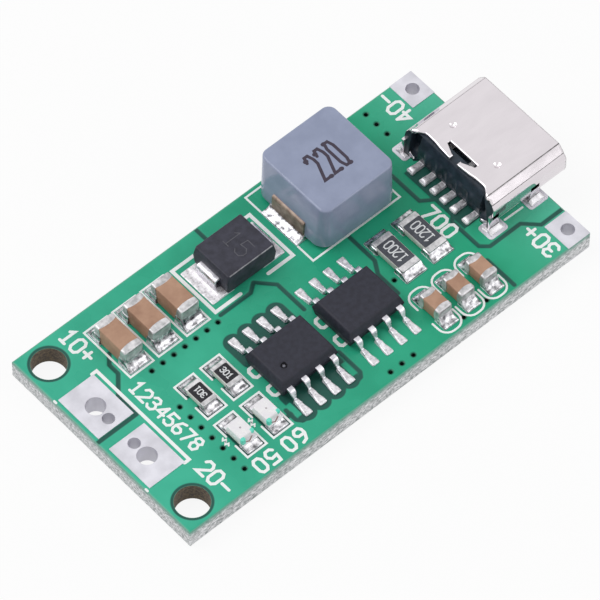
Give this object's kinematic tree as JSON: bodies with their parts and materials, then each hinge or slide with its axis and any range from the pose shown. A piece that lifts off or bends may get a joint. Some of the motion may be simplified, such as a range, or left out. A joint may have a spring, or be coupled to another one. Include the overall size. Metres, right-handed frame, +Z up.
{
  "type": "lithium battery charger module",
  "caption": "Flat green circuit board with a USB-C socket at one end and battery solder lands at the other, carrying the parts that charge a lithium cell.",
  "frame": {"origin": "middle of the outline in plan, socket included, on the plane the underside lands rest on", "axes": "+X along the board towards the USB-C socket, +Y to the edge beside the inductor, +Z up from the component side"},
  "size_m": [0.038, 0.018, 0.006],
  "materials": {
    "board_laminate": "glossy green solder mask over copper and glass fibre",
    "legend_ink": "matte printed ink",
    "tinned_land": "pale satin tin",
    "solder": "bright, slightly uneven",
    "stainless_sheet": "satin nickel-plated sheet",
    "socket_moulding": "matte",
    "plated_contact": "smooth gold plate",
    "inductor_powder": "matte pressed powder",
    "copper_strap": "satin tinned copper",
    "capacitor_ceramic": "satin fired ceramic",
    "black_moulding": "matte moulded epoxy",
    "tinned_end": "satin tin plate",
    "white_ceramic": "matte fired ceramic",
    "dark_coat": "glossy fired glass coat",
    "clear_lens": "clear moulded resin"
  },
  "bodies": {
    "root": {"battery_land_negative": "tinned_land", "battery_land_positive": "tinned_land", "charge_controller_body": "black_moulding", "charge_controller_leads": "tinned_end", "charge_input_land_negative": "tinned_land", "charge_input_land_positive": "tinned_land", "chip_solder": "solder", "circuit_board": "board_laminate", "component_lands": "tinned_land", "diode_body": "black_moulding", "diode_terminals": "tinned_end", "indicator_light_1_base": "white_ceramic", "indicator_light_1_ends": "tinned_end", "indicator_light_1_lens": "clear_lens", "indicator_light_2_base": "white_ceramic", "indicator_light_2_ends": "tinned_end", "indicator_light_2_lens": "clear_lens", "inductor_core": "inductor_powder", "inductor_terminal_battery_side": "copper_strap", "inductor_terminal_socket_side": "copper_strap", "input_capacitor_1_body": "capacitor_ceramic", "input_capacitor_1_ends": "tinned_end", "input_capacitor_2_body": "capacitor_ceramic", "input_capacitor_2_ends": "tinned_end", "input_capacitor_3_body": "capacitor_ceramic", "input_capacitor_3_ends": "tinned_end", "lead_solder": "solder", "legend_print": "legend_ink", "light_resistor_1_coat": "dark_coat", "light_resistor_1_ends": "tinned_end", "light_resistor_1_substrate": "white_ceramic", "light_resistor_2_coat": "dark_coat", "light_resistor_2_ends": "tinned_end", "light_resistor_2_substrate": "white_ceramic", "output_capacitor_1_body": "capacitor_ceramic", "output_capacitor_1_ends": "tinned_end", "output_capacitor_2_body": "capacitor_ceramic", "output_capacitor_2_ends": "tinned_end", "output_capacitor_3_body": "capacitor_ceramic", "output_capacitor_3_ends": "tinned_end", "power_solder": "solder", "power_switch_body": "black_moulding", "power_switch_leads": "tinned_end", "sense_resistor_1_coat": "dark_coat", "sense_resistor_1_ends": "tinned_end", "sense_resistor_1_substrate": "white_ceramic", "sense_resistor_2_coat": "dark_coat", "sense_resistor_2_ends": "tinned_end", "sense_resistor_2_substrate": "white_ceramic", "socket_body": "socket_moulding", "socket_contacts": "plated_contact", "socket_leg_lands": "tinned_land", "socket_plate": "stainless_sheet", "socket_shell": "stainless_sheet", "socket_solder": "solder", "socket_tongue": "socket_moulding"}
  },
  "joints": []
}
